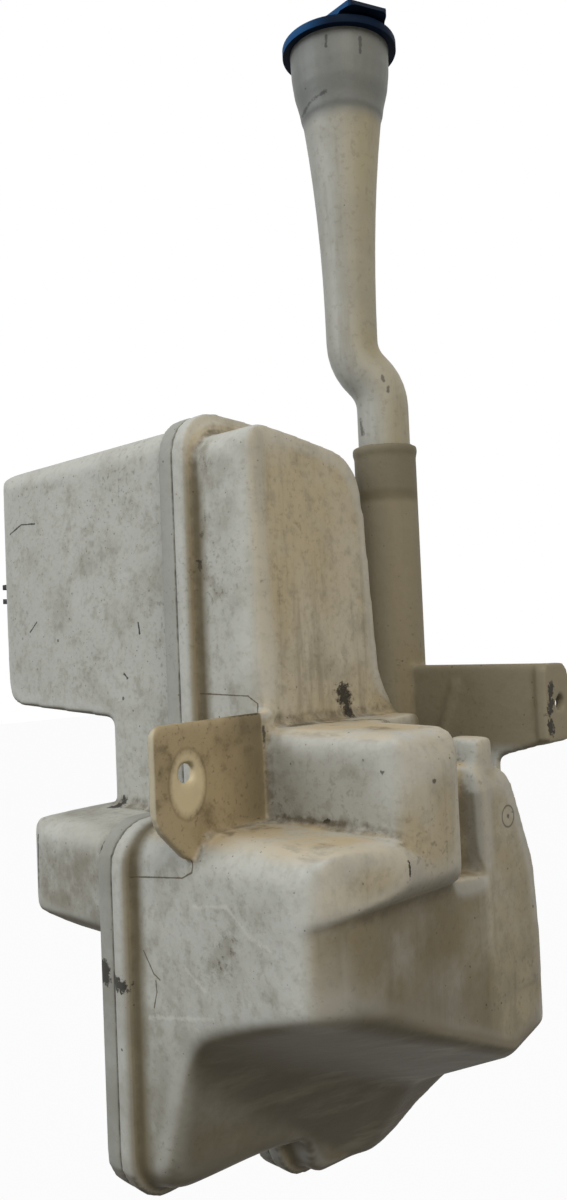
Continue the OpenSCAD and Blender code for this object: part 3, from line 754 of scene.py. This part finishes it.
# painted shade and road grime on the undersides
inner.coat(inner_shaded_under, UNDERSIDE_SHADE_AND_GRIME, 0.92)
orange_peel(inner)
dress(inner_shell.data, inner.close(SHELL_ROUGHNESS))
print("inner shell's finish has", len(inner.tree.nodes), "nodes")

# %% [markdown]
# ## The outer shell
# The outer shell is the dirty one. The first coat paints the walls that face outwards tan, as warm
# shade, and soft boxes, each a wall or a hollow, make the lower and back walls darker and lay painted
# shade below and behind the middle block. Here too the masks that the last coats need, of the
# underside and of the mould's gate, are made first.

# %% Wall colours of the outer shell
LEG_GREY = paint(112, 109, 96)
GATE = (63.2, 122.6, -29)

tank = Finish("outer_plastic_aged_and_shaded", MILKY)
shaded_underside = shaded_undersides(tank)
gate_dot = strokes(tank, [GATE, GATE], 1.2, Ragged=0.4)
outward = tank.mask(facing, Axis=OUTWARD, From=0.35, To=0.8)
front_walls = tank.mask(facing, Axis=FORWARD, From=0.4, To=0.8)
# painted warm shade: the walls that face outwards are coloured tan
tank.coat(outward, WARM_SHADE_TAN)
# the washes make the lower and back walls darker; below and behind the middle block they are painted shade
WALL_WASHES = {
    "back wall": ((20, 104, -FAR), (FAR, FAR, 0), 6, BACK_TAN, 0.8, outward),
    "lower wall": ((10, -FAR, -FAR), (FAR, 104, -46), 4, LOW_TAN, 0.8, outward),
    "shade below the middle block": ((10, 30, -112), (FAR, 84, -40), 12, SHADE_TAN, 0.5, outward),
    "wall over the scoop": ((-30, -FAR, -FAR), (FAR, 104, -84), 6, LOW_TAN, 0.7, outward),
    "front leg": ((-34, -FAR, -FAR), (FAR, 20, -108), 24, LEG_GREY, 0.7),
    "front of the middle block": ((2, 38, -22), (FAR, 46, 10), 5, GRIME, 0.36),
    "side of the middle block": ((58, 40, -40), (FAR, 84, 14), 6, BACK_TAN, 0.45, outward),
    "painted shade in the groove behind the middle block": ((40, 78, -56), (62.5, 112, -17), 1.5, SHADE_TAN, 0.75),
}
for values in WALL_WASHES.values():
    wash(tank, *values)
clouds(tank)
print("washed:", ", ".join(WALL_WASHES))

# %% Dirt and painted shade of the outer shell
SOCKET_BROWN = paint(123, 112, 86)
SOCKET_MOUTH = paint(92, 86, 70)
GROOVE_TAN = paint(98, 89, 67)
GROOVE_FLOOR = paint(84, 74, 54)

streaks = tank.mask(mottle, Scale=SMALL, Stretch=(1, 1, 0.1), From=0.48, To=0.7)
tank.coat(tank.both(streaks, outward), DIRT_AND_SHADE_BROWN, 0.35)
fibres = tank.mask(mottle, Scale=300.0, Stretch=(0.2, 0.2, 1), From=0.52, To=0.68)
ledges = tank.mask(facing, Axis=UP, From=0.5, To=0.9)
low_ledges = tank.both(ledges, box(tank, (-34, -FAR, -FAR), (FAR, FAR, 60), 4))
ledge_dirt = tank.mask(mottle, Scale=MEDIUM, From=0.28, To=0.58)
tank.coat(tank.both(low_ledges, ledge_dirt), LEDGE_DIRT, 0.85)
tank.coat(tank.both(low_ledges, fibres), CREASE_DIRT_AND_SHADE, 0.55)
dirt_and_shade_by_form(tank)
scoop_rim = box(tank, (20, 20, -130), (FAR, 140, -80), 8)
tank.coat(tank.both(rubbed_and_highlit_edges(tank), scoop_rim), LOW_TAN, 0.75)
# the socket and the side bracket get a darker brown: dirt, and painted shade where the tank hides them from
# the window
wash(tank, (-60, 124, -4), (FAR, FAR, 160), 4, SOCKET_BROWN, 0.85)
wash(tank, (-60, 120, 118), (20, FAR, 160), 3, SOCKET_MOUTH, 0.5)
below_top = box(tank, (-FAR, -FAR, -FAR), (FAR, FAR, 128), 14)
groove = box(tank, (-37.5, -FAR, -FAR), (-31, FAR, FAR), 3.5)
tank.coat(tank.both(groove, below_top), GROOVE_TAN, 0.86)
groove_floor = box(tank, (-36.6, -FAR, -FAR), (-33.8, FAR, FAR), 1)
tank.coat(tank.both(groove_floor, below_top), GROOVE_FLOOR, 0.45)
grit = speckle(tank)
print("outer dirt laid")

# %% [markdown]
# ## The front bracket
# The bracket's plate is browner than the walls, because the bolt held a wet washer on it: a paler
# disc shows where the washer lay, its cut edge is pale, and dark dirt sits along its outline. A
# second material could do this, but the plate is one piece with the shell, so it is a mask.

# %% Finish of the bracket plate
PLATE_TAN = paint(156, 138, 104)
PLATE_STAIN = paint(104, 90, 64)
PLATE_EDGE = paint(190, 182, 160)
PLATE_FADE = 0.8

plate = box(tank, (-3.2, -FAR, -33.5), (3.2, 39.6, 40), PLATE_FADE)
over_tip = box(tank, (-FAR, -FAR, -23.5), (FAR, FAR, FAR), PLATE_FADE)
tip = box(tank, (-FAR, -FAR, -FAR), (FAR, 7, FAR), PLATE_FADE)
plate = tank.both(plate, tank.either(over_tip, tip))
tank.coat(plate, PLATE_TAN, 0.9)
tank.coat(tank.both(plate, tank.mask(mottle, Scale=MEDIUM, From=0.44, To=0.66)), PLATE_STAIN, 0.35)
tank.coat(tank.both(plate, tank.mask(mottle, Scale=SMALL, From=0.5, To=0.68)), CREASE_DIRT_AND_SHADE, 0.4)
tank.coat(tank.both(plate, grit), CREASE_DIRT_AND_SHADE, 0.5)
# painted shade: the plate darkens towards its far side, where it curves away
wash(tank, (-FAR, 26, -FAR), (FAR, FAR, FAR), 12, DIRT_AND_SHADE_BROWN, 0.7, plate)
tank.coat(tank.both(plate, front_walls), PLATE_EDGE, 0.7)
print("plate coated")

# %% Washer mark and outline of the plate
WASHER_PALE = paint(200, 184, 148)
WASHER_PLACE = (2, 0, -4)
WASHER_SHAPE = (0.2, 1, 0.68)
WASHER_RADIUS = 9.4

washer = strokes(tank, [WASHER_PLACE, WASHER_PLACE], WASHER_RADIUS, WASHER_SHAPE, Soft=0.3, Ragged=0.03)
tank.coat(tank.both(plate, washer), WASHER_PALE, 0.78)
washer_ring = ring(tank, WASHER_PLACE, WASHER_RADIUS + 0.2, 0.9, WASHER_SHAPE)
tank.coat(tank.both(plate, washer_ring), CREASE_DIRT_AND_SHADE, 0.25)
PLATE_RIMS = [
    ([(2, 40.6, 14), (2, 40.6, -15)], 1.1),
    ([(2, 36, -22.4), (2, 6, -25)], 0.6),
    ([(-1.9, -15.9, 14), (-1.9, -15.9, -13), (-1.9, -13.6, -20), (-1.9, -6, -28.5)], 0.7),
    ([(1.6, 16, 19.8), (1.6, 38, 19.8)], 0.8),
]
draw(tank, PLATE_RIMS, SOOT, 0.8, Ragged=0.5)
print("bracket finished")

# %% [markdown]
# ## Marks that are on this one tank
# Some marks can't come from a rule: the scratches on the front wall, the clump of dried mud on the
# outer wall, and the thin lines where the halves of the mould's inserts met. Each is a stroke, or
# a few strokes end to end, given in millimetres from the bolt hole of the front bracket. The front
# wall isn't quite flat, so its marks are squashed along Y, which makes them reach through it.

# %% Scratches and insert lines
SCRATCH_WHITE = paint(204, 203, 195)
SCRATCHES = [
    ([(0.7, 1, -50.6), (20, 1, -47.6), (32.4, 1, -56.3), (41.9, 1, -58.9)], 1.3),
    ([(-4.5, 1, -75), (6.3, 1, -81)], 1.1),
    ([(-28.5, 1, -98.6), (10, 1, -90.4)], 1.2),
]
draw(tank, SCRATCHES, SCRATCH_WHITE, 0.35, THROUGH_FRONT, front_walls, Ragged=0.9, Soft=1.0)
HAIRLINES = [
    ([(-31, 1, -72.9), (-24.9, 1, -80.7), (-21.1, 1, -82.3)], 0.5),
    ([(-23.7, 1, -83.3), (-23.3, 1, -87.5), (-25.3, 1, -94)], 0.5),
    ([(-36, 41, 27.2), (-7.8, 42, 26.4), (-4, 44, 23.1), (-3.6, 44, 15)], 0.45),
    ([(-37, 1, -44.3), (-4.6, 1, -40.4), (1, 1, -37.6), (2, 1, -28)], 0.45),
]
draw(tank, HAIRLINES, CREASE_DIRT_AND_SHADE, 0.85, THROUGH_FRONT, front_walls, Ragged=0.35)
print(len(SCRATCHES), "scratches and", len(HAIRLINES), "hairlines")

# %% Mud and grime
MUD = [
    ([(0, 92.5, 24.5), (0, 93.5, 22)], 5.4),
    ([(0, 94.5, 20), (0, 95, 16)], 2.4),
    ([(0, 95, 15.5), (0, 95.3, 14)], 3.8),
]
clumps = draw(tank, MUD, SOOT, 0.92, Ragged=0.75)
tank.lift(clumps, 0.8)
SPOTS = [
    ([(-43.6, -4, -87.2), (-39.6, -4, -87.6)], 3.5),
    ([(-34.6, 41, 84.5), (-34, 41, 82)], 1.4),
    ([(33.5, 41.5, -21.5), (35, 41.5, -21.3)], 1.2),
    ([(74.7, 40.6, -28), (74.7, 40.6, -38)], 0.5),
    ([(71.5, 148.4, 24), (71.5, 148, 21)], 2.6),
    ([(71.5, 147.9, 17), (71.5, 146.6, 13)], 2.6),
    ([(71.5, 146.9, 8), (71.5, 147.5, 5)], 2.6),
]
draw(tank, SPOTS, SOOT, 0.92, Ragged=0.8, Soft=0.4)
SMUDGES = [
    ([(-30.8, 41, 101), (-30.8, 41, 96)], 8.0),
    ([(-34.3, 41, 83.4), (-24.4, 41, 71.3)], 6.0),
    ([(-30, 41, 134), (-27, 41, 120)], 6.0),
    ([(20, 1, -62), (14, 1, -70)], 9.0),
]
smudged = draw(tank, SMUDGES, DIRT_AND_SHADE_BROWN, 0.35, THROUGH_FRONT, Ragged=0.7, Grain=COARSE_GRAIN, Soft=1.0)
tank.coat(tank.both(grit, smudged), SOOT, 0.5)
DIRT_LINES = [
    ([(4, 56, 12.4), (8, 84, 12.4), (22, 98, 12)], 4.0),
    ([(8, 41, -21.8), (44, 41, -22)], 1.8),
]
draw(tank, DIRT_LINES, CREASE_DIRT_AND_SHADE, 0.7, Ragged=0.9, Grain=COARSE_GRAIN, Soft=1.0)
print(len(MUD) + len(SPOTS) + len(SMUDGES) + len(DIRT_LINES), "marks of mud and grime")

# %% Seal, gate and scoop
SWIRL_GREY = paint(132, 125, 104)
THROUGH_SIDE = (0.3, 1, 1)

wash(tank, (-60, 120, 115.5), (20, FAR, 121), 2, SHADE_TAN, 0.6)
tank.coat(ring(tank, GATE, 4.6, 0.8, THROUGH_SIDE), SOOT, 0.6)
scoop = tank.both(shaded_underside, box(tank, (-FAR, -FAR, -FAR), (FAR, FAR, -84), 5))
# painted shade on every underside, then a darker coat of painted shade and road grime under the scoop
tank.coat(shaded_underside, SHADE_TAN, 0.5)
tank.coat(scoop, UNDERSIDE_SHADE_AND_GRIME, 0.92)
swirls = tank.mask(mottle, Scale=MEDIUM, Stretch=(0.5, 0.5, 2.2), From=0.48, To=0.72)
tank.coat(tank.both(scoop, swirls), SWIRL_GREY, 0.45)
tank.coat(gate_dot, SOOT, 0.7)
orange_peel(tank)
dress(outer_shell.data, tank.close(SHELL_ROUGHNESS))
print("outer shell's finish has", len(tank.tree.nodes), "nodes")

# %% [markdown]
# ## Pipe plastic
# The filler pipe is the same natural plastic, less dirty, because it stands high in the engine bay.
# It is painted yellower on the side that faces outwards as warm shade, its funnel under the cap is
# painted darker as shade, and grime marks the ring where the funnel starts.

# %% Finish of the pipe
PIPE_GREY = paint(158, 157, 149)
PIPE_WARM_SHADE = paint(152, 142, 114)
PIPE_CLOUD = paint(128, 124, 110)
FUNNEL_SHADE_GREY = paint(94, 97, 95)
PIPE_OUTWARD = (0.94, 0.34, 0)

pipe = Finish("pipe_plastic_aged_and_shaded", PIPE_GREY)
# painted warm shade on the side of the pipe that faces outwards
pipe.coat(pipe.mask(facing, Axis=PIPE_OUTWARD, From=-0.2, To=0.9), PIPE_WARM_SHADE)
pipe.coat(pipe.mask(mottle, Scale=26.0, From=0.45, To=0.7), PIPE_CLOUD, 0.45)
pipe.coat(pipe.mask(mottle, Scale=120.0, Stretch=(1, 1, 0.12), From=0.5, To=0.75), DIRT_AND_SHADE_BROWN, 0.35)
pipe.coat(pipe.mask(mottle, Scale=300.0, From=0.52, To=0.7), DIRT_AND_SHADE_BROWN, 0.3)
# painted shade on the funnel under the cap
wash(pipe, (-FAR, -FAR, 309), (FAR, FAR, 349), 4, FUNNEL_SHADE_GREY, 0.8)
# dirt and painted shade in the creases
pipe.coat(pipe.mask(sunken, From=0.03, To=0.2), CREASE_DIRT_AND_SHADE, 0.6)
# pale edges: rubbed wear and painted highlight
pipe.coat(pipe.mask(raised, From=0.3, To=1.2), PALE_WEAR_AND_HIGHLIGHT, 0.3)
pipe.coat(pipe.mask(specks, Scale=160.0, Size=0.1, Share=0.2), SOOT, 0.6)
PIPE_GRIME = [
    ([(-39.9, 123.9, 314), (-34.4, 121.6, 314.5), (-27, 120.5, 317), (-19.3, 120.6, 318)], 1.3),
    ([(-15.6, 118.8, 343.9), (-15.9, 118.8, 338.6)], 0.9),
    ([(-4.1, 130.8, 342.5), (-4.4, 130.7, 335)], 1.1),
    ([(-22.5, 138.0, 158), (-20.7, 138.6, 150)], 2.2),
    ([(-8.4, 141.7, 177), (-8.2, 142, 175)], 1.2),
    ([(-6.8, 143.3, 171.5), (-6.7, 143.3, 169.5)], 1.2),
]
draw(pipe, PIPE_GRIME, SOOT, 0.7, Ragged=0.6)
pipe.lift(pipe.mask(mottle, Scale=45.0, From=0.2, To=0.8), 0.3)
dress(filler_pipe.data, pipe.close(0.5, shine=0.3))
print("pipe finish has", len(pipe.tree.nodes), "nodes")

# %% [markdown]
# ## Cap, rubber and pump
# The cap is navy blue with a little gloss left, brighter on the side where the light comes from. The
# seal and the grommet are black rubber, the pump is black plastic with a fine moulded grain, and
# the strainer is bare plastic. The last three differ only in colour, dust and grain, so one function
# makes them all.

# %% Finish of the cap
NAVY = paint(10, 24, 42)
NAVY_WORN = paint(5, 9, 16)
NAVY_LIT = paint(34, 82, 130)
NAVY_DUST = paint(60, 74, 90)
CAP_LIT_SIDE = (-0.75, -0.66, 0)

cap = Finish("cap_plastic_navy", NAVY)
cap.coat(cap.mask(mottle, Scale=60.0, From=0.45, To=0.75), NAVY_WORN, 0.7)
cap.coat(cap.mask(facing, Axis=CAP_LIT_SIDE, From=0.1, To=0.8), NAVY_LIT, 0.85)
cap.coat(cap.mask(mottle, Scale=300.0, Stretch=(1, 1, 0.3), From=0.6, To=0.78), NAVY_DUST, 0.1)
cap.lift(cap.mask(mottle, Scale=800.0, From=0.2, To=0.8), 0.015)
cap_plastic = cap.close(0.6, shine=0.05)
print("cap finish has", len(cap.tree.nodes), "nodes")


# %% Finish of the rubber, the pump and the strainer
def dull_finish(name, colour, dust, roughness, grain):
    """A plain moulded finish with dust in clouds and a fine grain."""
    finish = Finish(name, colour)
    finish.coat(finish.mask(mottle, Scale=55.0, From=0.45, To=0.75), dust, 0.35)
    finish.coat(finish.mask(facing, Axis=UP, From=0.4, To=0.95), dust, 0.5)
    finish.coat(finish.mask(specks, Scale=220.0, Size=0.1, Share=0.2), dust, 0.5)
    finish.lift(finish.mask(mottle, Scale=grain, From=0.2, To=0.8), 0.03)
    return finish.close(roughness)


seal_rubber = dull_finish(
    "seal_rubber_matt", paint(38, 37, 36), dust=paint(84, 78, 66), roughness=0.8, grain=500.0)
pump_plastic = dull_finish(
    "pump_plastic_black", paint(30, 30, 31), dust=paint(88, 82, 70), roughness=0.5, grain=900.0)
strainer_plastic = dull_finish(
    "strainer_plastic_bare", paint(178, 176, 168), dust=paint(120, 112, 92), roughness=0.55, grain=700.0)
NODE_FINISHES = {
    "cap_ring": cap_plastic, "cap_lid": cap_plastic,
    "pipe_seal": seal_rubber, "pump_grommet": seal_rubber,
    "pump_case": pump_plastic, "pump_foot": pump_plastic, "hose_clip": pump_plastic,
    "pump_strainer": strainer_plastic,
}
for node, material in NODE_FINISHES.items():
    dress(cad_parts[node].data, material)
print("finished", len(NODE_FINISHES), "nodes")

# %% [markdown]
# ## Floor and light
# The object hangs before a white background, so the floor lies well below it and its shadow falls
# out of the picture. The key light is a large cool window to the front left, so the tank shades
# what lies behind it, and a warm light comes from above on the outer side, which adds warmth to the
# walls that are painted tan. The world is pale grey for the object and plain white for the camera: a
# stronger world would also look white, but would wash out the dirt.

# %% What the camera sees as white
def seen_white(tree):
    """1 for rays that come from the camera, straight, mirrored or through something clear."""
    rays = tree.nodes.new("ShaderNodeLightPath")
    seen = compute(tree, "MAXIMUM", rays.outputs["Is Camera Ray"], rays.outputs["Is Glossy Ray"])
    return compute(tree, "MAXIMUM", seen, rays.outputs["Is Transmission Ray"])


def blend_for_camera(tree, share, plain, white, output):
    """Shows a plain shader to the object and a white one to the camera."""
    blend = tree.nodes.new("ShaderNodeMixShader")
    tree.links.new(share, blend.inputs["Fac"])
    tree.links.new(plain, blend.inputs[1])
    tree.links.new(white, blend.inputs[2])
    tree.links.new(blend.outputs["Shader"], tree.nodes[output].inputs["Surface"])


# %% Floor
FLOOR_DROP = 0.25
FLOOR_SIZE = 6.0
FLOOR_WHITE = 0.96
FLOOR_GREY = (0.35, 0.35, 0.35, 1)

floor_mesh = bpy.data.meshes.new("floor")
floor_shape = bmesh.new()
bmesh.ops.create_grid(floor_shape, x_segments=1, y_segments=1, size=FLOOR_SIZE)
bmesh.ops.translate(floor_shape, verts=floor_shape.verts, vec=(0, 0, cad_low.z - FLOOR_DROP))
floor_shape.to_mesh(floor_mesh)
floor_shape.free()
floor = bpy.data.objects.new("floor", floor_mesh)
scene.collection.objects.link(floor)
floor_paint = bpy.data.materials.new("floor_white")
floor_paint.use_nodes = True
tree = floor_paint.node_tree
matt = tree.nodes["Principled BSDF"]
matt.inputs["Base Color"].default_value = FLOOR_GREY
matt.inputs["Roughness"].default_value = 0.9
glow = tree.nodes.new("ShaderNodeEmission")
floor_share = compute(tree, "MULTIPLY", seen_white(tree), FLOOR_WHITE)
blend_for_camera(tree, floor_share, matt.outputs["BSDF"], glow.outputs["Emission"], "Material Output")
floor_mesh.materials.append(floor_paint)
print("floor at", round(cad_low.z - FLOOR_DROP, 3))

# %% World
ROOM_COLOUR = (0.93, 0.96, 1.0, 1)
ROOM_STRENGTH = 0.3

world = bpy.data.worlds.new("studio")
scene.world = world
world.use_nodes = True
tree = world.node_tree
room = tree.nodes["Background"]
room.inputs["Color"].default_value = ROOM_COLOUR
room.inputs["Strength"].default_value = ROOM_STRENGTH
white = tree.nodes.new("ShaderNodeBackground")
white.inputs["Color"].default_value = (1, 1, 1, 1)
white.inputs["Strength"].default_value = 1.0
blend_for_camera(
    tree, seen_white(tree), room.outputs["Background"], white.outputs["Background"], "World Output")
scene.view_settings.view_transform = "Standard"
print("world strength", ROOM_STRENGTH)

# %% Lamps
TARGET = (cad_low + cad_high) / 2


def soft_lamp(name, place, size, power, colour):
    """A square area lamp that faces the middle of the object."""
    lamp = bpy.data.lights.new(name, "AREA")
    lamp.size = size
    lamp.energy = power
    lamp.color = colour
    holder = bpy.data.objects.new(name, lamp)
    holder.location = place
    holder.rotation_mode = "QUATERNION"
    holder.rotation_quaternion = (TARGET - Vector(place)).to_track_quat("-Z", "Y")
    scene.collection.objects.link(holder)
    print(name, power, "W")


soft_lamp("window", place=(-1.2, -1.75, 1.2), size=1.2, power=28.0, colour=(0.95, 0.98, 1.0))
soft_lamp("warm_wall", place=(1.1, -0.6, 1.1), size=1.0, power=18.0, colour=(1.0, 0.97, 0.92))
